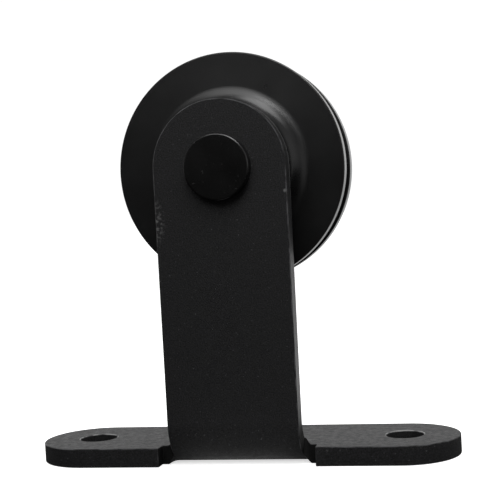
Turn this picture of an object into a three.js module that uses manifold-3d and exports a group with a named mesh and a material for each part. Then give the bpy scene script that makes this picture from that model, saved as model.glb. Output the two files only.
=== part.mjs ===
// Sliding door roller: a bent steel bracket that screws to the top edge of a door, and a grooved wheel
// that runs on a flat bar rail. Millimetres, +Z up, +X along the door, -Y the room side.
// The origin is on the bracket's underside, midway between its two screw holes.

import * as THREE from 'three';
import { mergeVertices } from 'three/addons/utils/BufferGeometryUtils.js';
import Module from 'manifold-3d';

const wasm = await Module();
wasm.setup();

// Bracket: one plate, cut to a T and bent once
const plateThickness = 6;
const footLength = 136;
const footDepth = 35;
const footHoleSpacing = 101;
const footHoleDiameter = 12;
const strapWidth = 41;
const strapFrontY = -20;
const bendInnerRadius = 8;
const notchWidth = 4.2;
const notchDepth = 4.2;
const axleHeight = 91.5;

// Axle bolt, M12, with two flats where it passes through the strap
const headDiameter = 20;
const headHeight = 3.5;
const shankRadius = 5.95;
const flatHalfWidth = 5;
const strapHoleGap = 0.35;
const boltEndY = 28.5;
const threadStartY = 13;
const threadRadius = 5.85;

// Wheel for a rail 6 mm thick
const wheelRadius = 36;
const wheelWidth = 17.5;
const wheelMidY = 3.5;
const grooveRootRadius = 28;
const grooveHalfWidth = 4;
const grooveRootHalfWidth = 3.6;
const grooveCornerRadius = 1.5;
const rimEdge = 0.4;
const hubRadius = 18.9;
const hubFillet = 6.8;
const hubFrontY = -12.8;
const hubFrontBore = 9.5;
const hubRearRadius = 20;
const hubRearY = 13;
const shoulderRadius = 13.6;
const shoulderRelief = 0.6;
const seatGap = 0.05;

// Deep groove ball bearing, 12 x 32 x 10
const bearingBore = 12;
const bearingOutside = 32;
const bearingWidth = 10;
const ballCount = 7;
const ballDiameter = 5.953;
const pitchRadius = 11;
const raceRadius = 3.15;
const innerLandRadius = 8.8;
const outerLandRadius = 13.2;
const sealSeatRadius = 13.95;
const sealThickness = 0.9;
const sealSet = 0.1;
const sealGap = 0.3;
const sealPlay = 0.15;
const cagePocketRadius = 3.2;
const cageSheet = 0.5;
const cageInnerRadius = 9.7;
const cageOuterRadius = 12.3;
const cageHalfGap = 0.15;

// Retaining ring, spacers, washer and nut
const circlipThickness = 1.2;
const circlipGrooveRadius = 16.85;
const circlipPlay = 0.1;
const spacerRadius = 8.2;
const rearSpacerEndY = 14;
const washerRadius = 12;
const washerBoreRadius = 6.5;
const washerThickness = 2.5;
const nutAcrossFlats = 19;
const nutHexHeight = 7.5;
const nutCollarRadius = 8.7;
const nutCollarHeight = 2.8;
const insertRadius = 7.6;
const insertHeight = 2.2;
const insertDepth = 0.3;
const threadGap = 0.1;

// Steps round the wheel, round the bearing and the bolt, round the small rings, and along arcs
const wheelSteps = 48;
const ringSteps = 32;
const smallSteps = 24;
const earSteps = 12;
const eyeSteps = 8;
const raceSteps = 8;
const quarterSteps = 6;
const cornerSteps = 2;

const plateHalf = footDepth / 2;
const strapBackY = strapFrontY + plateThickness;
const bendOuterRadius = bendInnerRadius + plateThickness;
const bendY = strapFrontY + bendOuterRadius;
const wheelFrontY = wheelMidY - wheelWidth / 2;
const wheelRearY = wheelMidY + wheelWidth / 2;
const bearingFrontY = wheelMidY - bearingWidth / 2;
const bearingRearY = wheelMidY + bearingWidth / 2;
const washerEndY = rearSpacerEndY + washerThickness;
const ballRadius = ballDiameter / 2;
const ballPitch = (2 * Math.PI) / ballCount;

const materials = {
  powderCoat: { color: 0x1c1c1d, roughness: 0.62, metalness: 0.1 },
  blackBolt: { color: 0x121213, roughness: 0.4, metalness: 0.2 },
  blackNylon: { color: 0x161617, roughness: 0.45, metalness: 0 },
  bearingSteel: { color: 0xb4b6b8, roughness: 0.22, metalness: 1 },
  cageSteel: { color: 0x8f9194, roughness: 0.4, metalness: 1 },
  sealRubber: { color: 0x17181a, roughness: 0.8, metalness: 0 },
  springSteel: { color: 0x3a3b3d, roughness: 0.45, metalness: 0.9 },
  zincSteel: { color: 0xa9adb1, roughness: 0.35, metalness: 1 },
  insertNylon: { color: 0xd8d9d4, roughness: 0.55, metalness: 0 },
};

// Points of an arc from one angle to another, in degrees, both ends included
function arc(centreU, centreV, radius, fromDegrees, toDegrees, steps = quarterSteps) {
  const points = [];
  for (let i = 0; i <= steps; i += 1) {
    const angle = THREE.MathUtils.degToRad(fromDegrees + ((toDegrees - fromDegrees) * i) / steps);
    points.push([centreU + radius * Math.cos(angle), centreV + radius * Math.sin(angle)]);
  }
  return points;
}

function closed(geometry) {
  geometry.deleteAttribute('normal');
  geometry.deleteAttribute('uv');
  return mergeVertices(geometry);
}

// A ring turned about the axle from a closed outline of [radius, y] points, its outer side rising in y
function turned(outline, steps) {
  const points = outline.map(([radius, y]) => new THREE.Vector2(radius, y));
  points.push(points[0].clone());
  return closed(new THREE.LatheGeometry(points, steps));
}

// A solid turned about the axle from an open outline that starts and ends on it
function turnedSolid(outline, steps = ringSteps) {
  const points = outline.map(([radius, y]) => new THREE.Vector2(radius, y));
  return closed(new THREE.LatheGeometry(points, steps));
}

function shapeOf(outline, holes = []) {
  const shape = new THREE.Shape(outline.map(([u, v]) => new THREE.Vector2(u, v)));
  holes.forEach((hole) => {
    shape.holes.push(new THREE.Path(hole.map(([u, v]) => new THREE.Vector2(u, v))));
  });
  return shape;
}

function extruded(shape, depth) {
  return new THREE.ExtrudeGeometry(shape, { depth, bevelEnabled: false, steps: 1 });
}

// An outline in (y, z), extruded along X about the middle plane
function acrossX(outline, width) {
  const geometry = extruded(shapeOf(outline), width);
  const turn = new THREE.Matrix4().makeBasis(
    new THREE.Vector3(0, 1, 0),
    new THREE.Vector3(0, 0, 1),
    new THREE.Vector3(1, 0, 0),
  );
  return closed(geometry.applyMatrix4(turn).translate(-width / 2, 0, 0));
}

// An outline in (x, z), extruded along Y from one y to another
function alongY(outline, fromY, toY, holes = []) {
  const geometry = extruded(shapeOf(outline, holes), toY - fromY);
  const turn = new THREE.Matrix4().makeBasis(
    new THREE.Vector3(1, 0, 0),
    new THREE.Vector3(0, 0, 1),
    new THREE.Vector3(0, -1, 0),
  );
  return closed(geometry.applyMatrix4(turn).translate(0, toY, 0));
}

function solid(geometry) {
  return new wasm.Manifold(new wasm.Mesh({
    numProp: 3,
    vertProperties: new Float32Array(geometry.attributes.position.array),
    triVerts: new Uint32Array(geometry.index.array),
  }));
}

function geometryOf(manifold) {
  const mesh = manifold.getMesh();
  const geometry = new THREE.BufferGeometry();
  geometry.setAttribute('position', new THREE.BufferAttribute(mesh.vertProperties, 3));
  geometry.setIndex(new THREE.BufferAttribute(mesh.triVerts, 1));
  return geometry;
}

// A round hole with two flats, its sides left and right
function flattedRound(radius, halfWidth) {
  const reach = THREE.MathUtils.radToDeg(Math.acos(halfWidth / radius));
  const steps = 2 * quarterSteps;
  return [
    ...arc(0, 0, radius, reach, 180 - reach, steps),
    ...arc(0, 0, radius, 180 + reach, 360 - reach, steps),
  ];
}

// The foot: a plate with round ends, cut away where the strap bends up, with a notch beside each side
function foot() {
  const half = strapWidth / 2;
  const notchX = half + notchWidth;
  const notchY = -plateHalf + notchDepth;
  const endX = footLength / 2 - plateHalf;
  const endSteps = 4 * quarterSteps;
  const outline = [
    [-notchX, -plateHalf],
    [-notchX, notchY],
    [-half, notchY],
    [-half, bendY],
    [half, bendY],
    [half, notchY],
    [notchX, notchY],
    [notchX, -plateHalf],
    ...arc(endX, 0, plateHalf, -90, 90, endSteps),
    ...arc(-endX, 0, plateHalf, 90, 270, endSteps),
  ];
  const holes = [-1, 1].map((side) => {
    const centre = (side * footHoleSpacing) / 2;
    return arc(centre, 0, footHoleDiameter / 2, 0, 360, ringSteps).slice(0, -1);
  });
  return closed(extruded(shapeOf(outline, holes), plateThickness));
}

// The bend, with a short flat at each end that runs into the foot and the strap
function bend() {
  const lap = 2;
  const outline = [
    [bendY + lap, plateThickness],
    ...arc(bendY, bendOuterRadius, bendInnerRadius, 270, 180, 2 * quarterSteps),
    [strapBackY, bendOuterRadius + lap],
    [strapFrontY, bendOuterRadius + lap],
    ...arc(bendY, bendOuterRadius, bendOuterRadius, 180, 270, 2 * quarterSteps),
    [bendY + lap, 0],
  ];
  return acrossX(outline, strapWidth);
}

// The strap, with its round head on the axle's axis
function strap() {
  const half = strapWidth / 2;
  const outline = [
    [-half, bendOuterRadius - axleHeight],
    [half, bendOuterRadius - axleHeight],
    ...arc(0, 0, half, 0, 180, 4 * quarterSteps),
  ];
  const hole = flattedRound(shankRadius + strapHoleGap, flatHalfWidth + strapHoleGap);
  return alongY(outline, strapFrontY, strapBackY, [hole]).translate(0, 0, axleHeight);
}

function bracket() {
  return geometryOf(solid(foot()).add(solid(bend())).add(solid(strap())));
}

// Axle bolt: flat round head against the strap, plain shank with two flats, threaded end
function axleBolt() {
  const edge = 0.4;
  const tip = 1.2;
  const flatRelief = 0.3;
  const threadLead = 0.3;
  const faceY = strapFrontY - headHeight;
  const headRadius = headDiameter / 2;
  const blank = turnedSolid([
    [0, faceY],
    [headRadius - edge, faceY],
    [headRadius, faceY + edge],
    [headRadius, strapFrontY],
    [shankRadius, strapFrontY],
    [shankRadius, threadStartY],
    [threadRadius, threadStartY + threadLead],
    [threadRadius, boltEndY - tip],
    [threadRadius - tip, boltEndY],
    [0, boltEndY],
  ]);
  const flatLength = plateThickness + flatRelief;
  const cutDepth = shankRadius;
  const flats = [-1, 1].map((side) => {
    const cut = new THREE.BoxGeometry(cutDepth, flatLength, 4 * shankRadius);
    cut.translate(side * (flatHalfWidth + cutDepth / 2), strapFrontY + flatLength / 2, 0);
    return solid(closed(cut));
  });
  return geometryOf(solid(blank).subtract(flats[0]).subtract(flats[1]));
}

function sleeve(innerRadius, outerRadius, fromY, toY) {
  const edge = 0.3;
  return turned([
    [innerRadius, fromY],
    [outerRadius - edge, fromY],
    [outerRadius, fromY + edge],
    [outerRadius, toY - edge],
    [outerRadius - edge, toY],
    [innerRadius, toY],
  ], smallSteps);
}

// Wheel: two flanges round a groove, a hub that reaches towards the strap through a round fillet,
// and a stepped bore with a shoulder in front of the bearing and a retaining ring groove behind it
function wheel() {
  const corner = grooveCornerRadius;
  const frontWall = wheelMidY - grooveRootHalfWidth;
  const rearWall = wheelMidY + grooveRootHalfWidth;
  const seatRadius = bearingOutside / 2 + seatGap;
  const ringGrooveEndY = bearingRearY + circlipThickness + circlipPlay;
  const lead = 0.5;
  return turned([
    [hubFrontBore, hubFrontY],
    [hubRadius - lead, hubFrontY],
    [hubRadius, hubFrontY + lead],
    ...arc(hubRadius + hubFillet, wheelFrontY - hubFillet, hubFillet, 180, 90),
    [wheelRadius - rimEdge, wheelFrontY],
    [wheelRadius, wheelFrontY + rimEdge],
    [wheelRadius, wheelMidY - grooveHalfWidth - rimEdge],
    [wheelRadius - rimEdge, wheelMidY - grooveHalfWidth],
    ...arc(grooveRootRadius + corner, frontWall + corner, corner, 270, 180, cornerSteps),
    ...arc(grooveRootRadius + corner, rearWall - corner, corner, 180, 90, cornerSteps),
    [wheelRadius - rimEdge, wheelMidY + grooveHalfWidth],
    [wheelRadius, wheelMidY + grooveHalfWidth + rimEdge],
    [wheelRadius, wheelRearY - rimEdge],
    [wheelRadius - rimEdge, wheelRearY],
    [hubRearRadius + lead, wheelRearY],
    [hubRearRadius, hubRearY],
    [seatRadius + lead, hubRearY],
    [seatRadius, hubRearY - lead],
    [seatRadius, ringGrooveEndY],
    [circlipGrooveRadius, ringGrooveEndY],
    [circlipGrooveRadius, bearingRearY],
    [seatRadius, bearingRearY],
    [seatRadius, bearingFrontY],
    [shoulderRadius, bearingFrontY],
    [shoulderRadius, bearingFrontY - shoulderRelief],
    [hubFrontBore, bearingFrontY - shoulderRelief],
  ], wheelSteps);
}

// The angle from the pitch plane at which a race groove meets its ring's land, in degrees
function raceReach(landRadius) {
  return THREE.MathUtils.radToDeg(Math.acos(Math.abs(landRadius - pitchRadius) / raceRadius));
}

function outerRing() {
  const outside = bearingOutside / 2 - seatGap;
  const edge = 0.6;
  const reach = raceReach(outerLandRadius);
  const step = bearingWidth / 2 - sealThickness - 2 * sealSet;
  return turned([
    [sealSeatRadius, bearingFrontY],
    [outside - edge, bearingFrontY],
    [outside, bearingFrontY + edge],
    [outside, bearingRearY - edge],
    [outside - edge, bearingRearY],
    [sealSeatRadius, bearingRearY],
    [sealSeatRadius, wheelMidY + step],
    [outerLandRadius, wheelMidY + step],
    ...arc(pitchRadius, wheelMidY, raceRadius, reach, -reach, raceSteps),
    [outerLandRadius, wheelMidY - step],
    [sealSeatRadius, wheelMidY - step],
  ], ringSteps);
}

function innerRing() {
  const bore = bearingBore / 2 + seatGap;
  const edge = 0.4;
  const reach = raceReach(innerLandRadius);
  return turned([
    [bore, bearingFrontY + edge],
    [bore + edge, bearingFrontY],
    [innerLandRadius, bearingFrontY],
    ...arc(pitchRadius, wheelMidY, raceRadius, 180 + reach, 180 - reach, raceSteps),
    [innerLandRadius, bearingRearY],
    [bore + edge, bearingRearY],
    [bore, bearingRearY - edge],
  ], smallSteps);
}

// A ring seal, held in the outer ring and clear of the inner one, with a stiffening rib
function seal(side) {
  const outside = bearingWidth / 2 - sealSet;
  const inside = outside - sealThickness;
  const outer = sealSeatRadius - sealPlay;
  const inner = innerLandRadius + sealGap;
  const dish = 0.3;
  const rib = 0.9;
  const slope = 0.4;
  const outline = [
    [inner, inside],
    [outer, inside],
    [outer, outside],
    [outer - rib, outside],
    [outer - rib - slope, outside - dish],
    [inner + rib + slope, outside - dish],
    [inner + rib, outside],
    [inner, outside],
  ];
  const placed = outline.map(([radius, offset]) => [radius, wheelMidY + side * offset]);
  return turned(side > 0 ? placed : placed.reverse(), smallSteps);
}

// One half of the ribbon cage: a band of sheet round the pitch circle that arches over each ball
function cageHalf(side) {
  const stepsPerBall = 10;
  const count = ballCount * stepsPerBall;
  const positions = [];
  const indices = [];
  for (let i = 0; i < count; i += 1) {
    const angle = (i / count) * 2 * Math.PI;
    const fromBall = (((angle + ballPitch / 2) % ballPitch) - ballPitch / 2) * pitchRadius;
    const near = Math.sqrt(Math.max(cagePocketRadius ** 2 - fromBall ** 2, 0));
    const far = Math.sqrt(Math.max((cagePocketRadius + cageSheet) ** 2 - fromBall ** 2, 0));
    const low = Math.max(near, cageHalfGap);
    const high = Math.max(far, cageHalfGap + cageSheet);
    const corners = [
      [cageInnerRadius, low],
      [cageOuterRadius, low],
      [cageOuterRadius, high],
      [cageInnerRadius, high],
    ];
    corners.forEach(([radius, offset]) => {
      positions.push(radius * Math.sin(angle), wheelMidY + side * offset, radius * Math.cos(angle));
    });
    for (let j = 0; j < 4; j += 1) {
      const here = 4 * i + j;
      const beside = 4 * i + ((j + 1) % 4);
      const next = 4 * ((i + 1) % count) + j;
      const nextBeside = 4 * ((i + 1) % count) + ((j + 1) % 4);
      const faces = [[here, beside, nextBeside], [here, nextBeside, next]];
      faces.forEach((face) => indices.push(...(side < 0 ? face : face.reverse())));
    }
  }
  const geometry = new THREE.BufferGeometry();
  geometry.setAttribute('position', new THREE.Float32BufferAttribute(positions, 3));
  geometry.setIndex(indices);
  return geometry;
}

// Internal retaining ring: open at the bottom, with an eyed ear on each side of the opening
function circlip() {
  const outer = circlipGrooveRadius - circlipPlay;
  const inner = 14.3;
  const earRadius = 2;
  const earCentre = 13.6;
  const eyeRadius = 1;
  const openDegrees = 17;
  const lap = 1;
  const from = -90 + openDegrees;
  const to = 270 - openDegrees;
  const eyes = [from, to].map((degrees) => {
    const angle = THREE.MathUtils.degToRad(degrees);
    return [earCentre * Math.cos(angle), earCentre * Math.sin(angle)];
  });
  const band = alongY([
    ...arc(0, 0, outer, from, to, ringSteps),
    ...arc(0, 0, inner, to, from, ringSteps),
  ], bearingRearY, bearingRearY + circlipThickness);
  let ring = solid(band);
  eyes.forEach(([x, z]) => {
    const ear = arc(x, z, earRadius, 0, 360, earSteps).slice(0, -1);
    ring = ring.add(solid(alongY(ear, bearingRearY, bearingRearY + circlipThickness)));
  });
  eyes.forEach(([x, z]) => {
    const eye = arc(x, z, eyeRadius, 0, 360, eyeSteps).slice(0, -1);
    ring = ring.subtract(solid(alongY(eye, bearingRearY - lap, bearingRearY + circlipThickness + lap)));
  });
  return geometryOf(ring);
}

// Lock nut: a hexagon with turned-down corners and a round collar that holds the nylon ring
function lockNut() {
  const corner = nutAcrossFlats / Math.sqrt(3);
  const bore = threadRadius + threadGap;
  const hexEndY = washerEndY + nutHexHeight;
  const endY = hexEndY + nutCollarHeight;
  const insertSeatY = endY - insertHeight - insertDepth - threadGap;
  const lap = 1;
  const cornerCut = 1.1;
  const cornerDrop = 0.8;
  const collarCut = 0.6;
  const collarDrop = 0.9;
  const hexagon = alongY(arc(0, 0, corner, 30, 390, 6).slice(0, -1), washerEndY, hexEndY);
  const turnedCorners = turnedSolid([
    [0, washerEndY - lap],
    [nutAcrossFlats / 2, washerEndY],
    [corner, washerEndY + cornerDrop],
    [corner, hexEndY - cornerDrop],
    [corner - cornerCut, hexEndY],
    [0, hexEndY],
  ]);
  const collar = turnedSolid([
    [0, hexEndY - lap],
    [nutCollarRadius, hexEndY - lap],
    [nutCollarRadius, endY - collarDrop],
    [nutCollarRadius - collarCut, endY],
    [0, endY],
  ]);
  const hollow = turnedSolid([
    [0, washerEndY - lap],
    [bore, washerEndY - lap],
    [bore, insertSeatY],
    [insertRadius + threadGap, insertSeatY],
    [insertRadius + threadGap, endY + lap],
    [0, endY + lap],
  ]);
  const body = solid(hexagon).intersect(solid(turnedCorners)).add(solid(collar));
  return geometryOf(body.subtract(solid(hollow)));
}

function lockNutInsert() {
  const endY = washerEndY + nutHexHeight + nutCollarHeight - insertDepth;
  return sleeve(threadRadius + threadGap, insertRadius, endY - insertHeight, endY);
}

function ball() {
  return closed(new THREE.SphereGeometry(ballRadius, earSteps, quarterSteps));
}

const roller = new THREE.Group();
const onAxle = new THREE.Group();
onAxle.position.set(0, 0, axleHeight);
roller.add(onAxle);

function piece(group, name, geometry, look) {
  const mesh = new THREE.Mesh(geometry, new THREE.MeshStandardMaterial(materials[look]));
  mesh.name = name;
  group.add(mesh);
  return mesh;
}

piece(roller, 'bracket', bracket(), 'powderCoat');

piece(onAxle, 'axle_bolt', axleBolt(), 'blackBolt');
const sleeveBore = bearingBore / 2 + seatGap;
piece(onAxle, 'front_spacer', sleeve(sleeveBore, spacerRadius, strapBackY, bearingFrontY), 'zincSteel');
piece(onAxle, 'wheel', wheel(), 'blackNylon');
piece(onAxle, 'bearing_outer_ring', outerRing(), 'bearingSteel');
piece(onAxle, 'bearing_inner_ring', innerRing(), 'bearingSteel');

for (let i = 0; i < ballCount; i += 1) {
  const angle = i * ballPitch;
  const mesh = piece(onAxle, `ball_${i + 1}`, ball(), 'bearingSteel');
  mesh.position.set(pitchRadius * Math.sin(angle), wheelMidY, pitchRadius * Math.cos(angle));
}

piece(onAxle, 'cage_front', cageHalf(-1), 'cageSteel');
piece(onAxle, 'cage_rear', cageHalf(1), 'cageSteel');
piece(onAxle, 'front_seal', seal(-1), 'sealRubber');
piece(onAxle, 'rear_seal', seal(1), 'sealRubber');
piece(onAxle, 'circlip', circlip(), 'springSteel');
piece(onAxle, 'rear_spacer', sleeve(sleeveBore, spacerRadius, bearingRearY, rearSpacerEndY), 'zincSteel');
piece(onAxle, 'rear_washer', sleeve(washerBoreRadius, washerRadius, rearSpacerEndY, washerEndY), 'zincSteel');
piece(onAxle, 'lock_nut', lockNut(), 'zincSteel');
piece(onAxle, 'lock_nut_insert', lockNutInsert(), 'insertNylon');

export default roller;
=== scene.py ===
"""Sliding door roller: its visible surfaces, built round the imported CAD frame.

Lengths are in millimetres up to new_piece, which makes them metres. +Z is up and -Y is the room side.
"""

import math

import bmesh
import bpy
from mathutils import Matrix, Vector


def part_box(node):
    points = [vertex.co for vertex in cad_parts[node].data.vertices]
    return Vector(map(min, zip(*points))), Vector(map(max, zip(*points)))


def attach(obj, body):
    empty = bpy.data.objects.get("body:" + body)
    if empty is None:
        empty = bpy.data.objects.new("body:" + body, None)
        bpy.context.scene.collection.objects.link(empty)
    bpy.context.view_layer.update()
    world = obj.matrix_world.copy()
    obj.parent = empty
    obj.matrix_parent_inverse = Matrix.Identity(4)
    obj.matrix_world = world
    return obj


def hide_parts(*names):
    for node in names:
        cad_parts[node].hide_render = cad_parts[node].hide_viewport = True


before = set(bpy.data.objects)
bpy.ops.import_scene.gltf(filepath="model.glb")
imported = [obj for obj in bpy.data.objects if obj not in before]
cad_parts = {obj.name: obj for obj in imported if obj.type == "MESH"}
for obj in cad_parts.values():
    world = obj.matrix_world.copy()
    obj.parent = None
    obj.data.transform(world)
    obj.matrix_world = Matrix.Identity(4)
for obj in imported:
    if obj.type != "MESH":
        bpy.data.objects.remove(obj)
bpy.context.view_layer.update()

MM = 0.001

# ---------------------------------------------------------------- sizes read from the frame, in millimetres


def extent(node):
    """A node's lowest and highest corner, in millimetres."""
    low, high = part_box(node)
    return low / MM, high / MM


bracket_low, bracket_high = extent("bracket")
wheel_low, wheel_high = extent("wheel")
bolt_low, bolt_high = extent("axle_bolt")
outer_low, outer_high = extent("bearing_outer_ring")
inner_low, inner_high = extent("bearing_inner_ring")
front_spacer_low, front_spacer_high = extent("front_spacer")
rear_spacer_low, rear_spacer_high = extent("rear_spacer")
washer_low, washer_high = extent("rear_washer")
nut_low, nut_high = extent("lock_nut")
insert_low, insert_high = extent("lock_nut_insert")
circlip_low, circlip_high = extent("circlip")

AXLE_Z = (wheel_low.z + wheel_high.z) / 2
MID_Y = (outer_low.y + outer_high.y) / 2

# Bracket
PLATE = 6.0
FOOT_LENGTH = bracket_high.x - bracket_low.x
FOOT_HALF_DEPTH = bracket_high.y
HOLE_SPACING = 101.0
HOLE_RADIUS = 6.0
STRAP_WIDTH = 41.0
STRAP_FRONT_Y = bracket_low.y
BEND_INNER = 8.0
BEND_OUTER = BEND_INNER + PLATE
BEND_Y = STRAP_FRONT_Y + BEND_OUTER
NOTCH_WIDTH = 4.2
NOTCH_DEPTH = 4.2
AXLE_HOLE_RADIUS = 6.3
CUT_EDGE = 0.32
BEND_STEPS = 20
EASE_STEPS = 6
EASE_STEP = 0.4
EASE_REACH = 2.4
WALL_MARGIN = 0.1
RIM_MARGIN = 1.0
SHADE_LENGTH = 5.0
HOLE_SHADE = 1.5
HOLE_SHADE_FALL = 1.7
SCUFF_PLACE = (-20.8, -20.0, 76.0)
SCUFF_REACH = (3.6, 3.0, 8.0)
CHIP_PLACE = (19.9, -20.0, 83.6)
CHIP_REACH = (0.7, 0.7, 0.7)

# Wheel
WHEEL_RADIUS = (wheel_high.z - wheel_low.z) / 2
WHEEL_WIDTH = 17.5
WHEEL_ROUND = 288
RIM_EDGE = 0.4
WHEEL_FRONT_Y = MID_Y - WHEEL_WIDTH / 2
WHEEL_REAR_Y = MID_Y + WHEEL_WIDTH / 2
GROOVE_ROOT = 28.0
GROOVE_HALF = 4.0
GROOVE_ROOT_HALF = 3.6
GROOVE_CORNER = 1.6
HUB_RADIUS = 18.9
HUB_FILLET = 6.8
HUB_BORE = 9.5
HUB_REAR_RADIUS = 20.0
HUB_REAR_TAPER = 0.6
SEAT_RADIUS = 16.05
SEAT_LEAD_IN = 0.5
SHOULDER_RADIUS = 13.6
SHOULDER_RELIEF = 0.6
CLIP_GROOVE_WIDTH = 1.3
CLIP_GROOVE_DEPTH = 0.8

# Bearing
BALLS = 7
BALL_RADIUS = 2.9765
PITCH_RADIUS = 11.0
RACE_RADIUS = 3.15
INNER_LAND = 8.8
OUTER_LAND = 13.2
RING_BORE = 6.05
RING_OUTSIDE = 15.95
RING_EDGE = 0.6
SEAL_SEAT = 13.95
SEAL_THICKNESS = 0.9
SEAL_SUNK = 0.1
SEAL_ROOM = 0.2
SEAL_GAP_OUTSIDE = 0.15
SEAL_GAP_INSIDE = 0.3

# Bolt, spacers, washer and nut
HEAD_RADIUS = (bolt_high.x - bolt_low.x) / 2
HEAD_EDGE = 0.55
HEAD_BACK_EDGE = 0.2
SHANK_RADIUS = 5.95
THREAD_RADIUS = 5.85
THREAD_PITCH = 1.75
THREAD_COVERED = 4.0
SPACER_BORE = 6.05
SPACER_RADIUS = 8.2
WASHER_BORE = 6.5
WASHER_RADIUS = 12.0
NUT_BORE = THREAD_RADIUS + 0.1
INSERT_RADIUS = (insert_high.x - insert_low.x) / 2

# Paint on the bracket, with painted highlights on the strap's rear edge and the hole rims, and painted
# shade in the holes and notches
PAINT_DARK = (0.004, 0.004, 0.0042)
PAINT_LIGHT = (0.0168, 0.0168, 0.0175)
SPECK_COLOUR = (0.046, 0.046, 0.048)
EDGE_COLOUR = (0.055, 0.055, 0.057)
# Painted highlight: light grey along the strap's rear edge round the head, standing in for the light that
# edge catches
REAR_EDGE_HIGHLIGHT_COLOUR = (0.085, 0.085, 0.085)
# Rubbed paint on the hole rims, made light enough to also serve as a painted highlight on them
HOLE_RIM_WEAR_AND_HIGHLIGHT_COLOUR = (0.2, 0.2, 0.2)
WORN_COLOUR = (0.11, 0.11, 0.11)
SHADE_COLOUR = (0.0015, 0.0015, 0.0015)
FLANK_ROUGHNESS = (0.27, 0.27, 0.27)
SHADE_ROUGHNESS = (0.8, 0.8, 0.8)

# Mesh steps: round a turned part, and round a corner of 90 degrees in its outline
ROUND = 192
CORNER_STEPS = 5

# Floor and backdrop, in metres. The place and reach near the bend are in millimetres
FLOOR_RADIUS = 30.0
FLOOR_DROP = 0.0001
FLOOR_GLOW = 0.65
FLOOR_NEAR = 0.6
FLOOR_FAR = 0.03
FLOOR_BACK = 0.9
FLOOR_NEAR_PLACE = (0, -24, 0)
FLOOR_NEAR_REACH = (27, 26, 10)
FLOOR_FADE = 0.45
FLOOR_BACK_START = 0.02
FLOOR_BACK_END = 0.12
BACKDROP_GLOW = 1.06

# Light from round about: the direction's axis, where the light starts and where it is full, its strength
SKY = (
    ("Y", -0.1, 0.45, 1.25),
    ("Z", 0.0, 0.7, 0.3),
    ("X", 0.35, 0.95, 0.8),
    ("X", -0.55, -0.95, 0.4),
    ("X", 0.0, -0.5, 0.16),
    ("Y", 2.0, -2.0, 0.03),
)

# Softboxes, in metres and watts: place, width, height, power
SOFTBOXES = {
    "key": ((-0.05, -0.55, 0.53), 0.5, 0.5, 2.45),
    "glint": ((0.084, -0.58, 0.494), 0.1, 0.1, 0.5),
    "side": ((0.33, -0.6, 0.1), 0.3, 0.34, 0.2),
    "top": ((0.2, -0.3, 0.72), 0.4, 0.4, 3.1),
}
LIGHT_AIM = (0, 0, 0.07)

# Camera, in metres and degrees, its lens and sensor in millimetres
CAMERA_PLACE = (0.08326, -0.34219, 0.07715)
CAMERA_HEADING = 10.231
CAMERA_PITCH = -3.927
CAMERA_ROLL = -2.775
LENS = 80.37
SENSOR_WIDTH = 36
SHIFT_X = -0.12
SHIFT_Y = 0.08
CLIP_START = 0.01

# ---------------------------------------------------------------- meshes


def rounded(outline, closed):
    """An outline with its corners rounded: a corner is (u, v) or (u, v, radius)."""
    points = []
    count = len(outline)
    for i, corner in enumerate(outline):
        here = Vector(corner[:2])
        if len(corner) < 3 or (not closed and i in (0, count - 1)):
            points.append(here)
            continue
        radius = corner[2]
        back = (Vector(outline[i - 1][:2]) - here).normalized()
        ahead = (Vector(outline[(i + 1) % count][:2]) - here).normalized()
        between = back.angle(ahead)
        centre = here + (back + ahead).normalized() * radius / math.sin(between / 2)
        reach = radius / math.tan(between / 2)
        start = here + back * reach - centre
        end = here + ahead * reach - centre
        turn = math.pi - between
        steps = max(2, round(turn / (math.pi / 2) * CORNER_STEPS))
        for k in range(steps + 1):
            share = k / steps
            spoke = start * math.sin((1 - share) * turn) + end * math.sin(share * turn)
            points.append(centre + spoke / math.sin(turn))
    return points


def arc(centre_u, centre_v, radius, start, end, steps):
    """Points along an arc, from one angle to another in degrees."""
    points = []
    for k in range(steps + 1):
        angle = math.radians(start + (end - start) * k / steps)
        points.append((centre_u + radius * math.cos(angle), centre_v + radius * math.sin(angle)))
    return points


def mark(bm, name, faces, share):
    """Stores a share for each corner of these faces, for the material to read."""
    layer = bm.loops.layers.float.new(name)
    for face in faces:
        for loop in face.loops:
            loop[layer] = share(loop.vert.co)


def new_piece(name, bm, sharp=40.0):
    """A smooth shaded object from a bmesh in millimetres, with crisp edges where faces meet sharply."""
    bmesh.ops.remove_doubles(bm, verts=bm.verts, dist=1e-5)
    bmesh.ops.recalc_face_normals(bm, faces=bm.faces)
    bmesh.ops.scale(bm, vec=(MM, MM, MM), verts=bm.verts)
    mesh = bpy.data.meshes.new(name)
    bm.to_mesh(mesh)
    bm.free()
    mesh.shade_smooth()
    mesh.set_sharp_from_angle(angle=math.radians(sharp))
    piece = bpy.data.objects.new(name, mesh)
    bpy.context.scene.collection.objects.link(piece)
    weighted = piece.modifiers.new("normals", "WEIGHTED_NORMAL")
    weighted.keep_sharp = True
    weighted.weight = 80
    return piece


def turn_outline(bm, outline, closed=True, steps=ROUND, centre=(0.0, AXLE_Z)):
    """Turns an outline of (radius, y) about a line parallel to Y. An open outline ends on the line."""
    rings = []
    for radius, y in outline:
        if radius < 1e-6:
            rings.append([bm.verts.new((centre[0], y, centre[1]))])
            continue
        ring = []
        for k in range(steps):
            angle = 2 * math.pi * k / steps
            x = centre[0] + radius * math.sin(angle)
            ring.append(bm.verts.new((x, y, centre[1] + radius * math.cos(angle))))
        rings.append(ring)
    pairs = list(zip(rings, rings[1:]))
    if closed:
        pairs.append((rings[-1], rings[0]))
    for low, high in pairs:
        for k in range(steps):
            after = (k + 1) % steps
            corners = [low[k % len(low)], low[after % len(low)]]
            corners += [high[after % len(high)], high[k % len(high)]]
            bm.faces.new(list(dict.fromkeys(corners)))


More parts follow.
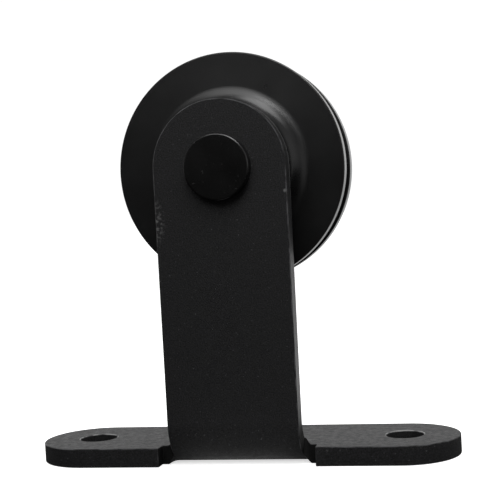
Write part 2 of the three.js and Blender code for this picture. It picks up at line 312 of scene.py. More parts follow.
def turned(name, outline, steps=ROUND):
    """A ring shaped piece about the axle, from a closed outline with some corners rounded."""
    bm = bmesh.new()
    turn_outline(bm, rounded(outline, True), True, steps)
    return new_piece(name, bm)


def round_axle(radius, angle, y):
    """A point at a radius from the axle's line and at an angle from the top, clockwise from the front."""
    return radius * math.sin(angle), y, AXLE_Z + radius * math.cos(angle)


def join_sections(bm, sections):
    """Faces from each closed section to the next, all the way round."""
    for k, here in enumerate(sections):
        beside = sections[(k + 1) % len(sections)]
        for j in range(len(here)):
            below = (j + 1) % len(here)
            bm.faces.new((here[j], here[below], beside[below], beside[j]))


def slab(loops, thickness):
    """Sheet cut to these loops of points, the first its outline and the others holes."""
    bm = bmesh.new()
    for loop in loops:
        verts = [bm.verts.new(point) for point in loop]
        for k, vert in enumerate(verts):
            bm.edges.new((vert, verts[(k + 1) % len(verts)]))
    bmesh.ops.triangle_fill(bm, use_beauty=True, edges=bm.edges[:])
    raised = bmesh.ops.extrude_face_region(bm, geom=bm.faces[:])["geom"]
    raised = [v for v in raised if isinstance(v, bmesh.types.BMVert)]
    bmesh.ops.translate(bm, vec=thickness, verts=raised)
    bmesh.ops.recalc_face_normals(bm, faces=bm.faces)
    return bm


def smoothstep(share):
    share = min(max(share, 0.0), 1.0)
    return share * share * (3 - 2 * share)


# ---------------------------------------------------------------- the bent bracket


def flat_blank():
    """The plate before bending, in (x, run), where run goes down from the foot into the strap."""
    half = STRAP_WIDTH / 2
    notch_x = half + NOTCH_WIDTH
    notch_y = -FOOT_HALF_DEPTH + NOTCH_DEPTH
    end_x = FOOT_LENGTH / 2 - FOOT_HALF_DEPTH
    outline = [(-notch_x, -FOOT_HALF_DEPTH), (-notch_x, notch_y), (-half, notch_y)]
    outline += arc(0, axle_run(), half, 180, 360, 72)
    outline += [(half, notch_y), (notch_x, notch_y), (notch_x, -FOOT_HALF_DEPTH)]
    outline += arc(end_x, 0, FOOT_HALF_DEPTH, -90, 90, 64)
    outline += arc(-end_x, 0, FOOT_HALF_DEPTH, 90, 270, 64)
    holes = [arc(side * HOLE_SPACING / 2, 0, HOLE_RADIUS, 0, 360, 64)[:-1] for side in (-1, 1)]
    holes.append(arc(0, axle_run(), AXLE_HOLE_RADIUS, 0, 360, 48)[:-1])
    return [outline, *holes]


def bend_length():
    """The bend's length along the middle of the plate."""
    return math.pi / 2 * (BEND_INNER + PLATE / 2)


def axle_run():
    """Where the axle's hole is along the flat blank."""
    return BEND_Y - bend_length() - (AXLE_Z - BEND_OUTER)


def bent(x, run, height):
    """Where a point of the flat blank goes when the strap is bent up. Beside the strap it stays flat."""
    past = BEND_Y - run
    if past <= 0:
        return Vector((x, run, height))
    neutral = BEND_INNER + PLATE / 2
    angle = min(past / neutral, math.pi / 2)
    radius = BEND_OUTER - height
    rise = max(past - bend_length(), 0)
    y = BEND_Y - radius * math.sin(angle)
    z = BEND_OUTER - radius * math.cos(angle) + rise
    share = smoothstep((STRAP_WIDTH / 2 + EASE_REACH - abs(x)) / EASE_REACH)
    return Vector((x, run, height)).lerp(Vector((x, y, z)), share)


def beside_hole(point, margin):
    """Whether a point of the flat blank is within a margin of one of the foot's holes."""
    return math.hypot(abs(point.x) - HOLE_SPACING / 2, point.y) < HOLE_RADIUS + margin


def shade_of(point):
    """How deep a point of a cut wall lies in a hole or in a notch beside the bend, from 0 to 1."""
    if beside_hole(point, WALL_MARGIN):
        return smoothstep(HOLE_SHADE - HOLE_SHADE_FALL * point.z / PLATE)
    if abs(point.x) > STRAP_WIDTH / 2 + NOTCH_WIDTH + WALL_MARGIN:
        return 0.0
    return smoothstep((point.y - BEND_Y + bend_length()) / SHADE_LENGTH)


def rear_edge_highlight_of(point):
    """How close a point of the strap's side is to its rear edge, from 0 to 1, round the head only: where a
    painted highlight lines that edge.
    """
    if point.y > axle_run() + RIM_MARGIN:
        return 0.0
    return point.z / PLATE


def flank_of(point):
    """1 at the foot's end of the strap's flanks and 0 at the head. The share fades evenly between."""
    return float(point.y > -FOOT_HALF_DEPTH)


def make_bracket():
    """The plate, cut flat with its edges rounded, marked for the paint with its painted highlights and
    painted shade, and then bent.
    """
    bm = slab([[(x, run, 0) for x, run in loop] for loop in flat_blank()], (0, 0, PLATE))
    corners = [e for e in bm.edges if e.calc_face_angle(0) > math.radians(40)]
    bevel = {"offset": CUT_EDGE, "segments": 3, "profile": 0.5, "affect": "EDGES"}
    edges = bmesh.ops.bevel(bm, geom=corners, **bevel)["faces"]
    bm.normal_update()
    mark(bm, "worn_edge", edges, lambda point: 1.0)
    # Marks the hole rims for rubbed paint that also serves as a painted highlight
    rims = [f for f in edges if beside_hole(f.calc_center_median(), RIM_MARGIN)]
    mark(bm, "hole_rim", rims, lambda point: 1.0)
    upright = [f for f in bm.faces if abs(f.normal.z) < 0.1]
    walls = [f for f in upright if f.calc_center_median().y < -FOOT_HALF_DEPTH]
    # Marks the strap's rear edge round the head for a painted highlight
    mark(bm, "rear_edge_highlight", walls, rear_edge_highlight_of)
    sideways = [f for f in bm.faces if abs(f.normal.x) > 0.9]
    flanks = [f for f in sideways if abs(f.calc_center_median().x) < STRAP_WIDTH / 2 + WALL_MARGIN]
    mark(bm, "strap_flank", flanks, flank_of)
    cuts = []
    for k in range(BEND_STEPS + 1):
        cuts.append(((0, BEND_Y - bend_length() * k / BEND_STEPS, 0), (0, 1, 0)))
    for side in (-1, 1):
        for k in range(EASE_STEPS + 1):
            cuts.append(((side * (STRAP_WIDTH / 2 + k * EASE_STEP), 0, 0), (1, 0, 0)))
    for place, normal in cuts:
        geometry = bm.verts[:] + bm.edges[:] + bm.faces[:]
        bmesh.ops.bisect_plane(bm, geom=geometry, plane_co=place, plane_no=normal, dist=1e-4)
    mark(bm, "in_shade", [f for f in bm.faces if abs(f.normal.z) < 0.3], shade_of)
    for vert in bm.verts:
        vert.co = bent(*vert.co)
    return new_piece("bracket_plate", bm)


# ---------------------------------------------------------------- the bolt and what is on it


def make_bolt():
    """Flat round head and plain shank, with the threaded end as a second shell on the same line."""
    face_y = bolt_low.y
    thread_start = nut_low.y + THREAD_COVERED
    bm = bmesh.new()
    outline = rounded([
        (0, face_y),
        (HEAD_RADIUS, face_y, HEAD_EDGE),
        (HEAD_RADIUS, STRAP_FRONT_Y, HEAD_BACK_EDGE),
        (SHANK_RADIUS, STRAP_FRONT_Y),
        (SHANK_RADIUS, thread_start),
        (0, thread_start),
    ], False)
    turn_outline(bm, outline, False)
    add_thread(bm, thread_start, bolt_high.y)
    return new_piece("axle_bolt_body", bm)


def add_thread(bm, start, end):
    """The bolt's last turns of thread, with a turned-down tip. Crests and roots are flat."""
    around = 96
    per_pitch = 14
    depth = 1.0
    flat = 0.12
    tip = 1.3
    rows = round((end - start) / THREAD_PITCH * per_pitch)
    grid = []
    for j in range(rows + 1):
        y = start + (end - start) * j / rows
        row = []
        for k in range(around):
            phase = (y / THREAD_PITCH - k / around) % 1
            ridge = min(max((abs(phase - 0.5) * 2 - flat) / (1 - 2 * flat), 0), 1)
            radius = THREAD_RADIUS - depth * ridge
            radius = min(radius, THREAD_RADIUS - tip + (end - y))
            angle = 2 * math.pi * k / around
            row.append(bm.verts.new(round_axle(radius, angle, y)))
        grid.append(row)
    for low, high in zip(grid, grid[1:]):
        for k in range(around):
            after = (k + 1) % around
            bm.faces.new((low[k], low[after], high[after], high[k]))
    bm.faces.new(grid[0])
    bm.faces.new(grid[-1])


def make_sleeve(name, inner, outer, start, end, edge=0.3):
    """A plain ring about the axle, its outer edges rounded and its bore's edges just broken."""
    return turned(name, [
        (inner, start, 0.2),
        (outer, start, edge),
        (outer, end, edge),
        (inner, end, 0.2),
    ])


def make_nut():
    """Hexagon with turned-down corners, a round collar behind it, and the recess for the nylon ring."""
    flat = (nut_high.x - nut_low.x) / 2
    widest = flat / math.cos(math.pi / 6) - 0.12
    hex_end = nut_low.y + 7.5
    collar = 8.7
    countersink = 0.6
    recess = INSERT_RADIUS + 0.1
    slope = math.tan(math.radians(28))
    land = flat * 0.97
    bm = bmesh.new()
    sections = []
    for k in range(ROUND):
        angle = 2 * math.pi * k / ROUND
        corner = (angle + math.pi / 6) % (math.pi / 3) - math.pi / 6
        side = min(flat / math.cos(corner), widest)
        cut = (side - land) * slope
        profile = [
            (NUT_BORE + countersink, nut_low.y),
            (land, nut_low.y),
            (side, nut_low.y + cut),
            (side, hex_end - cut),
            (land, hex_end),
            (collar + 0.5, hex_end),
            (collar + 0.1, hex_end + 0.15),
            (collar, hex_end + 0.5),
            (collar, nut_high.y - 0.9),
            (collar - 0.25, nut_high.y - 0.3),
            (collar - 0.8, nut_high.y),
            (recess, nut_high.y),
            (recess, insert_low.y - 0.1),
            (NUT_BORE, insert_low.y - 0.1),
            (NUT_BORE, nut_low.y + countersink),
        ]
        sections.append([bm.verts.new(round_axle(radius, angle, y)) for radius, y in profile])
    join_sections(bm, sections)
    return new_piece("lock_nut_body", bm, sharp=24)


# ---------------------------------------------------------------- the wheel and its bearing


def make_wheel():
    """Two flanges round the rail groove, the hub with its fillet, and the bearing's stepped seat."""
    shoulder_y = outer_low.y
    relief_y = shoulder_y - SHOULDER_RELIEF
    clip_radius = SEAT_RADIUS + CLIP_GROOVE_DEPTH
    clip_end = outer_high.y + CLIP_GROOVE_WIDTH
    return turned("wheel_body", [
        (HUB_BORE, wheel_low.y, RIM_EDGE),
        (HUB_RADIUS, wheel_low.y, RIM_EDGE),
        (HUB_RADIUS, WHEEL_FRONT_Y, HUB_FILLET),
        (WHEEL_RADIUS, WHEEL_FRONT_Y, RIM_EDGE),
        (WHEEL_RADIUS, MID_Y - GROOVE_HALF, RIM_EDGE),
        (GROOVE_ROOT, MID_Y - GROOVE_ROOT_HALF, GROOVE_CORNER),
        (GROOVE_ROOT, MID_Y + GROOVE_ROOT_HALF, GROOVE_CORNER),
        (WHEEL_RADIUS, MID_Y + GROOVE_HALF, RIM_EDGE),
        (WHEEL_RADIUS, WHEEL_REAR_Y, RIM_EDGE),
        (HUB_REAR_RADIUS + HUB_REAR_TAPER, WHEEL_REAR_Y, 0.5),
        (HUB_REAR_RADIUS, wheel_high.y, 0.25),
        (SEAT_RADIUS + SEAT_LEAD_IN, wheel_high.y),
        (SEAT_RADIUS, wheel_high.y - SEAT_LEAD_IN),
        (SEAT_RADIUS, clip_end),
        (clip_radius, clip_end),
        (clip_radius, outer_high.y),
        (SEAT_RADIUS, outer_high.y),
        (SEAT_RADIUS, shoulder_y),
        (SHOULDER_RADIUS, shoulder_y),
        (SHOULDER_RADIUS, relief_y),
        (HUB_BORE, relief_y),
    ], steps=WHEEL_ROUND)


def race(land, inward):
    """The race groove's arc, from one edge of its land to the other."""
    reach = math.degrees(math.acos(abs(land - PITCH_RADIUS) / RACE_RADIUS))
    centre = 180 if inward else 0
    side = -1 if inward else 1
    return arc(PITCH_RADIUS, MID_Y, RACE_RADIUS, centre + side * -reach, centre + side * reach, 16)


def make_outer_ring():
    """The ring in the wheel's seat, with a step on both sides for the seals."""
    step = outer_high.y - MID_Y - SEAL_THICKNESS - SEAL_ROOM
    return turned("bearing_outer_race", [
        (SEAL_SEAT, outer_low.y),
        (RING_OUTSIDE, outer_low.y, RING_EDGE),
        (RING_OUTSIDE, outer_high.y, RING_EDGE),
        (SEAL_SEAT, outer_high.y),
        (SEAL_SEAT, MID_Y + step),
        (OUTER_LAND, MID_Y + step, 0.1),
        *reversed(race(OUTER_LAND, False)),
        (OUTER_LAND, MID_Y - step, 0.1),
        (SEAL_SEAT, MID_Y - step),
    ])


def make_inner_ring():
    """The ring round the bolt, with its race groove on the outside."""
    return turned("bearing_inner_race", [
        (RING_BORE, inner_low.y, 0.4),
        (INNER_LAND, inner_low.y, 0.2),
        *reversed(race(INNER_LAND, True)),
        (INNER_LAND, inner_high.y, 0.2),
        (RING_BORE, inner_high.y, 0.4),
    ])


def make_seal(name, side):
    """A disc seal with a shallow recess between its two rims. side is -1 in front and 1 behind."""
    outside = outer_high.y - MID_Y - SEAL_SUNK
    inside = outside - SEAL_THICKNESS
    outer = SEAL_SEAT - SEAL_GAP_OUTSIDE
    inner = INNER_LAND + SEAL_GAP_INSIDE
    dish = 0.3
    outline = [
        (inner, inside),
        (outer, inside, 0.2),
        (outer, outside, 0.25),
        (outer - 0.9, outside, 0.3),
        (outer - 1.3, outside - dish, 0.3),
        (inner + 1.3, outside - dish, 0.3),
        (inner + 0.8, outside, 0.3),
        (inner, outside, 0.15),
    ]
    return turned(name, [(c[0], MID_Y + side * c[1], *c[2:]) for c in outline])


def make_cage(name, side):
    """Half a ribbon cage: sheet that arches over each ball, with rounded edges."""
    per_ball = 36
    around = BALLS * per_ball
    spacing = 2 * math.pi / BALLS
    pocket, sheet, gap = 3.2, 0.5, 0.15
    inner, outer, edge = 9.7, 12.3, 0.12
    bm = bmesh.new()
    sections = []
    for k in range(around):
        angle = 2 * math.pi * k / around
        along = ((angle + spacing / 2) % spacing - spacing / 2) * PITCH_RADIUS
        near = max(math.sqrt(max(pocket ** 2 - along ** 2, 0)), gap)
        far = max(math.sqrt(max((pocket + sheet) ** 2 - along ** 2, 0)), gap + sheet)
        profile = [
            (inner, near + edge), (inner + edge, near), (outer - edge, near), (outer, near + edge),
            (outer, far - edge), (outer - edge, far), (inner + edge, far), (inner, far - edge),
        ]
        points = [round_axle(radius, angle, MID_Y + side * offset) for radius, offset in profile]
        sections.append([bm.verts.new(point) for point in points])
    join_sections(bm, sections)
    return new_piece(name, bm)


def make_ball(number):
    """Ball 1 is at the top, and the others follow clockwise as seen from the front."""
    angle = 2 * math.pi * (number - 1) / BALLS
    centre = (PITCH_RADIUS * math.sin(angle), AXLE_Z + PITCH_RADIUS * math.cos(angle))
    bm = bmesh.new()
    turn_outline(bm, arc(0, MID_Y, BALL_RADIUS, -90, 90, 20), False, 40, centre)
    return new_piece(f"steel_ball_{number}", bm)


def make_circlip():
    """Internal retaining ring, its ends in eyed ears either side of the opening at the bottom."""
    thickness = circlip_high.y - circlip_low.y
    outer, inner = 16.7, 14.3
    ear_centre, ear_radius, eye_radius = 13.6, 2.0, 1.0
    opening = 17
    start, end = -90 + opening, 270 - opening
    swing = math.degrees(math.asin(ear_radius / ear_centre))
    outer_stop, inner_stop = swing * 0.8, swing * 1.1
    ear_from, ear_to = 70, 235
    ears = []
    for at in (end, start):
        angle = math.radians(at)
        ears.append((ear_centre * math.cos(angle), ear_centre * math.sin(angle)))
    outline = arc(0, 0, outer, start - outer_stop, end + outer_stop, 120)
    outline += arc(*ears[0], ear_radius, end + ear_from, end + ear_to, 16)
    outline += arc(0, 0, inner, end - inner_stop, start + inner_stop, 120)
    outline += arc(*ears[1], ear_radius, start - ear_to, start - ear_from, 16)
    eyes = [arc(*ear, eye_radius, 0, 360, 24)[:-1] for ear in ears]
    loops = [[(x, circlip_low.y, AXLE_Z + z) for x, z in loop] for loop in [outline, *eyes]]
    bm = slab(loops, (0, thickness, 0))
    corners = [e for e in bm.edges if e.calc_face_angle(0) > math.radians(50)]
    bmesh.ops.bevel(bm, geom=corners, offset=0.1, segments=2, profile=0.5, affect="EDGES")
    return new_piece("retaining_ring", bm)


# ---------------------------------------------------------------- materials


class Nodes:
    """A short way to write a material's node tree."""

    def __init__(self, name):
        self.material = bpy.data.materials.new(name)
        self.material.use_nodes = True
        self.tree = self.material.node_tree
        self.shader = self.tree.nodes["Principled BSDF"]

    def add(self, kind, inputs=None, **settings):
        node = self.tree.nodes.new(kind)
        for key, value in settings.items():
            setattr(node, key, value)
        for key, value in (inputs or {}).items():
            self.put(node.inputs[key], value)
        return node

    def put(self, socket, value):
        if isinstance(value, bpy.types.NodeSocket):
            self.tree.links.new(value, socket)
        else:
            socket.default_value = value

    def noise(self, scale, detail, roughness=0.5):
        vector = self.add("ShaderNodeTexCoord").outputs["Object"]
        inputs = {"Vector": vector, "Scale": scale, "Detail": detail, "Roughness": roughness}
        return self.add("ShaderNodeTexNoise", inputs).outputs["Fac"]

    def ramp(self, value, low, high, start=0.3, end=0.7):
        """A grey or colour that runs from low to high as value goes from start to end."""
        node = self.add("ShaderNodeValToRGB", {"Fac": value})
        for element, place, colour in zip(node.color_ramp.elements, (start, end), (low, high)):
            element.position = place
            element.color = (*colour, 1) if isinstance(colour, tuple) else (colour,) * 3 + (1,)
        return node.outputs["Color"]

    def bump(self, height, distance, strength, normal=None):
        inputs = {"Height": height, "Distance": distance, "Strength": strength}
        if normal is not None:
            inputs["Normal"] = normal
        return self.add("ShaderNodeBump", inputs).outputs["Normal"]

    def blend(self, share, under, over):
        """Goes from the under colour to the over colour as share goes from 0 to 1."""
        node = self.add("ShaderNodeMix", data_type="RGBA")
        for key, value in ((0, share), (6, under), (7, over)):
            value = (*value, 1) if isinstance(value, tuple) else value
            self.put(node.inputs[key], value)
        return node.outputs[2]

    def marked(self, name):
        return self.add("ShaderNodeAttribute", attribute_name=name).outputs["Fac"]

    def times(self, a, b):
        return self.add("ShaderNodeMath", {0: a, 1: b}, operation="MULTIPLY").outputs[0]

    def near(self, place, reach):
        """1 at a place in millimetres, falling to 0 at its reach along each axis."""
        inputs = {0: self.add("ShaderNodeTexCoord").outputs["Object"], 1: [v * MM for v in place]}
        away = self.add("ShaderNodeVectorMath", inputs, operation="SUBTRACT").outputs[0]
        inputs = {0: away, 1: [1 / (v * MM) for v in reach]}
        away = self.add("ShaderNodeVectorMath", inputs, operation="MULTIPLY").outputs[0]
        away = self.add("ShaderNodeVectorMath", {0: away}, operation="LENGTH").outputs["Value"]
        return self.add("ShaderNodeMapRange", {"Value": away, "To Min": 1, "To Max": 0}).outputs["Result"]

    def finish(self, **inputs):
        for key, value in inputs.items():
            self.put(self.shader.inputs[key.replace("_", " ").title()], value)
        return self.material


def powder_coat():
    """Black powder coat on steel plate: orange peel, grain with light specks, thin paint on edges, rubbed
    hole rims that also carry a painted highlight, a painted highlight on the strap's rear edge, and painted
    shade in the holes and notches.
    """
    nodes = Nodes("powder_coat")
    peel = nodes.noise(750, 2.0)
    grain = nodes.noise(2600, 2.0, 0.6)
    mottle = nodes.noise(520, 4.0, 0.7)
    colour = nodes.ramp(grain, PAINT_DARK, PAINT_LIGHT)
    specks = nodes.ramp(nodes.noise(1500, 2.0), 0.0, 1.0, 0.66, 0.76)
    colour = nodes.blend(specks, colour, SPECK_COLOUR)
    thin = nodes.times(nodes.marked("worn_edge"), nodes.ramp(nodes.noise(260, 3.0), 0.0, 1.0, 0.4, 0.62))
    # Rubbed paint on the hole rims, partly wear and partly a painted highlight
    rim_wear_and_highlight = nodes.times(nodes.marked("hole_rim"), nodes.ramp(nodes.noise(420, 3.0), 0.15, 1.0, 0.42, 0.56))
    scuff = nodes.near(SCUFF_PLACE, SCUFF_REACH)
    scuff = nodes.times(scuff, nodes.ramp(nodes.noise(900, 3.0, 0.6), 0.0, 1.0, 0.48, 0.6))
    chip = nodes.near(CHIP_PLACE, CHIP_REACH)
    # Painted highlight along the strap's rear edge round the head
    rear_edge_highlight = nodes.ramp(nodes.marked("rear_edge_highlight"), 0.0, 1.0, 0.7, 0.9)
    worn = nodes.add("ShaderNodeMath", {0: scuff, 1: chip}, operation="MAXIMUM").outputs[0]
    colour = nodes.blend(thin, colour, EDGE_COLOUR)
    colour = nodes.blend(rear_edge_highlight, colour, REAR_EDGE_HIGHLIGHT_COLOUR)
    colour = nodes.blend(rim_wear_and_highlight, colour, HOLE_RIM_WEAR_AND_HIGHLIGHT_COLOUR)
    colour = nodes.blend(worn, colour, WORN_COLOUR)
    shade = nodes.marked("in_shade")
    colour = nodes.blend(shade, colour, SHADE_COLOUR)
    rough = nodes.ramp(mottle, 0.46, 0.62, 0.35, 0.65)
    rough = nodes.blend(nodes.marked("strap_flank"), rough, FLANK_ROUGHNESS)
    rough = nodes.blend(shade, rough, SHADE_ROUGHNESS)
    normal = nodes.bump(mottle, 0.00015, 0.22)
    normal = nodes.bump(peel, 0.00008, 0.35, normal)
    normal = nodes.bump(grain, 0.00006, 1.0, normal)
    nodes.shader.inputs["Specular IOR Level"].default_value = 0.14
    return nodes.finish(base_color=colour, roughness=rough, normal=normal, metallic=0.0)


def satin_black(name, low, high, rough_low, rough_high):
    """Smooth black paint or plating on a turned part."""
    nodes = Nodes(name)
    drift = nodes.noise(120, 3.0)
    grain = nodes.noise(3500, 2.0)
    colour = nodes.ramp(drift, (low,) * 3, (high,) * 3)
    nodes.shader.inputs["Specular IOR Level"].default_value = 0.42
    specks = nodes.ramp(nodes.noise(1100, 2.0), 0.0, 1.0, 0.68, 0.76)
    colour = nodes.blend(specks, colour, (0.02, 0.02, 0.02))
    rough = nodes.ramp(drift, rough_low, rough_high)
    normal = nodes.bump(grain, 0.00001, 0.2)
    return nodes.finish(base_color=colour, roughness=rough, normal=normal, metallic=0.0)


def turned_nylon():
    """Black nylon, turned: faint rings about the axle over a soft mottle."""
    nodes = Nodes("black_nylon")
    point = nodes.add("ShaderNodeTexCoord").outputs["Object"]
    centred = nodes.add("ShaderNodeVectorMath", {0: point, 1: (0, 0, AXLE_Z * MM)}, operation="SUBTRACT")
    flat = nodes.add("ShaderNodeVectorMath", {0: centred.outputs[0], 1: (1, 0, 1)}, operation="MULTIPLY")
    radius = nodes.add("ShaderNodeVectorMath", {0: flat.outputs[0]}, operation="LENGTH").outputs["Value"]
    rings = nodes.add("ShaderNodeTexNoise", {"W": radius, "Scale": 2600, "Detail": 2.0},
                      noise_dimensions="1D").outputs["Fac"]
    drift = nodes.noise(90, 3.0)
    grain = nodes.noise(3800, 2.0)
    colour = nodes.ramp(drift, (0.001, 0.001, 0.0011), (0.0018, 0.0018, 0.0019))
    rough = nodes.ramp(drift, 0.27, 0.32)
    nodes.shader.inputs["Specular IOR Level"].default_value = 0.41
    normal = nodes.bump(rings, 0.00001, 0.25)
    normal = nodes.bump(grain, 0.00002, 0.2, normal)
    return nodes.finish(base_color=colour, roughness=rough, normal=normal, metallic=0.0)


def steel(name, low, high, rough_low, rough_high):
    """Bare or plated steel with a fine brushed mottle."""
    nodes = Nodes(name)
    drift = nodes.noise(150, 3.0)
    grain = nodes.noise(1600, 3.0, 0.6)
    colour = nodes.ramp(drift, low, high)
    rough = nodes.ramp(grain, rough_low, rough_high)
    normal = nodes.bump(grain, 0.00001, 0.2)
    return nodes.finish(base_color=colour, roughness=rough, normal=normal, metallic=1.0)


def seal_rubber():
    """Dull black rubber with a soft mottle."""
    nodes = Nodes("seal_rubber")
    mottle = nodes.noise(700, 3.0)
    colour = nodes.ramp(mottle, (0.014, 0.014, 0.015), (0.024, 0.024, 0.025))
    rough = nodes.ramp(mottle, 0.62, 0.75)
    return nodes.finish(base_color=colour, roughness=rough, normal=nodes.bump(mottle, 0.00003, 0.3))


def natural_nylon():
    """Undyed nylon, off-white."""
    nodes = Nodes("insert_nylon")
    mottle = nodes.noise(500, 3.0)
    colour = nodes.ramp(mottle, (0.6, 0.6, 0.55), (0.72, 0.72, 0.68))
    rough = nodes.ramp(mottle, 0.42, 0.55)
    return nodes.finish(base_color=colour, roughness=rough, normal=nodes.bump(mottle, 0.00003, 0.3))


# ---------------------------------------------------------------- the object


def add_piece(piece, body, slot, material, *nodes):
    """Gives a piece its material, the body that it moves with, and the nodes that it stands for."""
    piece.data.materials.clear()
    piece.data.materials.append(material)
    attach(piece, body)
    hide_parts(*nodes)


def build_object():
    paint = powder_coat()
    bolt_black = satin_black("black_bolt", 0.0012, 0.0022, 0.16, 0.21)
    nylon = turned_nylon()
    bearing = steel("bearing_steel", (0.44, 0.44, 0.45), (0.52, 0.52, 0.53), 0.16, 0.26)
    cage = steel("cage_steel", (0.27, 0.27, 0.28), (0.33, 0.33, 0.34), 0.34, 0.46)
    spring = steel("spring_steel", (0.11, 0.11, 0.115), (0.17, 0.17, 0.175), 0.34, 0.46)
    zinc = steel("zinc_steel", (0.4, 0.41, 0.43), (0.5, 0.5, 0.51), 0.26, 0.4)
    rubber = seal_rubber()
    add_piece(make_bracket(), "bracket", "powder_coat", paint, "bracket")
    add_piece(make_bolt(), "bracket", "black_bolt", bolt_black, "axle_bolt")
    size = (SPACER_BORE, SPACER_RADIUS)
    front = make_sleeve("spacer_sleeve_front", *size, front_spacer_low.y, front_spacer_high.y)
    add_piece(front, "bracket", "zinc_steel", zinc, "front_spacer")
    rear = make_sleeve("spacer_sleeve_rear", *size, rear_spacer_low.y, rear_spacer_high.y)
    add_piece(rear, "bracket", "zinc_steel", zinc, "rear_spacer")
    size = (WASHER_BORE, WASHER_RADIUS)
    washer = make_sleeve("washer_plain", *size, washer_low.y, washer_high.y, 0.35)
    add_piece(washer, "bracket", "zinc_steel", zinc, "rear_washer")
    add_piece(make_nut(), "bracket", "zinc_steel", zinc, "lock_nut")
    size = (NUT_BORE, INSERT_RADIUS)
    ring = make_sleeve("nylon_ring", *size, insert_low.y, insert_high.y, 0.25)
    add_piece(ring, "bracket", "insert_nylon", natural_nylon(), "lock_nut_insert")
    add_piece(make_inner_ring(), "bracket", "bearing_steel", bearing, "bearing_inner_ring")
    add_piece(make_wheel(), "wheel", "black_nylon", nylon, "wheel")
    add_piece(make_outer_ring(), "wheel", "bearing_steel", bearing, "bearing_outer_ring")
    add_piece(make_seal("seal_disc_front", -1), "wheel", "seal_rubber", rubber, "front_seal")
    add_piece(make_seal("seal_disc_rear", 1), "wheel", "seal_rubber", rubber, "rear_seal")
    add_piece(make_circlip(), "wheel", "spring_steel", spring, "circlip")
    add_piece(make_cage("ribbon_cage_front", -1), "cage", "cage_steel", cage, "cage_front")
    add_piece(make_cage("ribbon_cage_rear", 1), "cage", "cage_steel", cage, "cage_rear")
    for number in range(1, BALLS + 1):
        node = f"ball_{number}"
        add_piece(make_ball(number), node, "bearing_steel", bearing, node)


# ---------------------------------------------------------------- the studio


def make_floor():
    """A plain white floor that runs out of every view.

    It throws light back at the object from under the bend and from behind.
    """
    nodes = Nodes("floor")
    mottle = nodes.noise(3, 2.0)
    seen = nodes.shader
    nodes.finish(base_color=nodes.ramp(mottle, (0.86,) * 3, (0.88,) * 3), roughness=0.9)
    seen.inputs["Emission Color"].default_value = (1, 1, 1, 1)
    seen.inputs["Emission Strength"].default_value = FLOOR_GLOW
    seen.inputs["Specular IOR Level"].default_value = 0.1
    point = nodes.add("ShaderNodeTexCoord").outputs["Object"]
    under_bend = nodes.near(FLOOR_NEAR_PLACE, FLOOR_NEAR_REACH)
    fade = nodes.add("ShaderNodeMapRange", {
        "Value": under_bend, "From Max": FLOOR_FADE, "To Min": FLOOR_FAR, "To Max": FLOOR_NEAR,
    }).outputs["Result"]
    behind = nodes.add("ShaderNodeMapRange", {
        "Value": nodes.add("ShaderNodeSeparateXYZ", {0: point}).outputs["Y"],
        "From Min": FLOOR_BACK_START, "From Max": FLOOR_BACK_END, "To Min": 0.0, "To Max": FLOOR_BACK,
    }).outputs["Result"]
    strength = nodes.add("ShaderNodeMath", {0: fade, 1: behind}, operation="MAXIMUM").outputs[0]
    thrown = nodes.add("ShaderNodeEmission", {"Strength": strength})
    path = nodes.add("ShaderNodeLightPath")
    mix = nodes.add("ShaderNodeMixShader", {0: path.outputs["Is Camera Ray"]})
    nodes.put(mix.inputs[1], thrown.outputs[0])
    nodes.put(mix.inputs[2], seen.outputs[0])
    nodes.put(nodes.tree.nodes["Material Output"].inputs["Surface"], mix.outputs[0])
    bm = bmesh.new()
    bmesh.ops.create_circle(bm, cap_ends=True, segments=96, radius=FLOOR_RADIUS)
    mesh = bpy.data.meshes.new("floor")
    bm.to_mesh(mesh)
    bm.free()
    floor = bpy.data.objects.new("floor", mesh)
    floor.location.z = -FLOOR_DROP
    floor.data.materials.append(nodes.material)
    bpy.context.scene.collection.objects.link(floor)


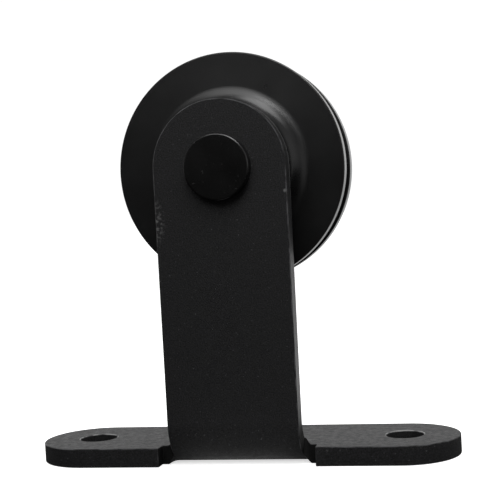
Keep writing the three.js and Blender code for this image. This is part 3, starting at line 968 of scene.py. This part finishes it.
def make_world():
    """White all round to look at. The light on the object comes mostly from behind and from the sides."""
    world = bpy.data.worlds.new("studio")
    bpy.context.scene.world = world
    world.use_nodes = True
    tree = world.node_tree
    links = tree.links
    direction = tree.nodes.new("ShaderNodeSeparateXYZ")
    links.new(tree.nodes.new("ShaderNodeTexCoord").outputs["Generated"], direction.inputs[0])

    def fade(axis, start, end, strength):
        node = tree.nodes.new("ShaderNodeMapRange")
        node.interpolation_type = "SMOOTHSTEP"
        for key, value in (("From Min", start), ("From Max", end), ("To Min", 0), ("To Max", strength)):
            node.inputs[key].default_value = value
        links.new(direction.outputs[axis], node.inputs["Value"])
        return node.outputs["Result"]

    def brighter(one, other):
        node = tree.nodes.new("ShaderNodeMath")
        node.operation = "MAXIMUM"
        links.new(one, node.inputs[0])
        links.new(other, node.inputs[1])
        return node.outputs[0]

    strength = fade(*SKY[0])
    for row in SKY[1:]:
        strength = brighter(strength, fade(*row))
    thrown = tree.nodes["Background"]
    thrown.inputs["Color"].default_value = (1, 1, 1, 1)
    links.new(strength, thrown.inputs["Strength"])
    seen = tree.nodes.new("ShaderNodeBackground")
    seen.inputs["Color"].default_value = (1, 1, 1, 1)
    seen.inputs["Strength"].default_value = BACKDROP_GLOW
    mix = tree.nodes.new("ShaderNodeMixShader")
    links.new(tree.nodes.new("ShaderNodeLightPath").outputs["Is Camera Ray"], mix.inputs["Fac"])
    links.new(thrown.outputs[0], mix.inputs[1])
    links.new(seen.outputs[0], mix.inputs[2])
    links.new(mix.outputs[0], tree.nodes["World Output"].inputs["Surface"])


def make_lights():
    """Softboxes that face the middle of the object."""
    for name, (location, width, height, power) in SOFTBOXES.items():
        data = bpy.data.lights.new(name, "AREA")
        data.shape = "RECTANGLE"
        data.size = width
        data.size_y = height
        data.energy = power
        lamp = bpy.data.objects.new(name, data)
        lamp.location = location
        lamp.rotation_euler = (Vector(LIGHT_AIM) - Vector(location)).to_track_quat("-Z", "Y").to_euler()
        bpy.context.scene.collection.objects.link(lamp)


def make_camera():
    """Close to the object, a little to its right and below the axle's height."""
    heading = math.radians(CAMERA_HEADING)
    pitch = math.radians(CAMERA_PITCH)
    roll = math.radians(CAMERA_ROLL)
    data = bpy.data.cameras.new("camera")
    data.sensor_width = SENSOR_WIDTH
    data.lens = LENS
    data.shift_x = SHIFT_X
    data.shift_y = SHIFT_Y
    data.clip_start = CLIP_START
    camera = bpy.data.objects.new("camera", data)
    turn = Matrix.Rotation(heading, 4, "Z") @ Matrix.Rotation(math.pi / 2 + pitch, 4, "X")
    camera.matrix_world = Matrix.Translation(CAMERA_PLACE) @ turn @ Matrix.Rotation(roll, 4, "Z")
    bpy.context.scene.collection.objects.link(camera)
    bpy.context.scene.camera = camera


bpy.context.scene.view_settings.view_transform = "Standard"
make_camera()
build_object()
make_floor()
make_world()
make_lights()
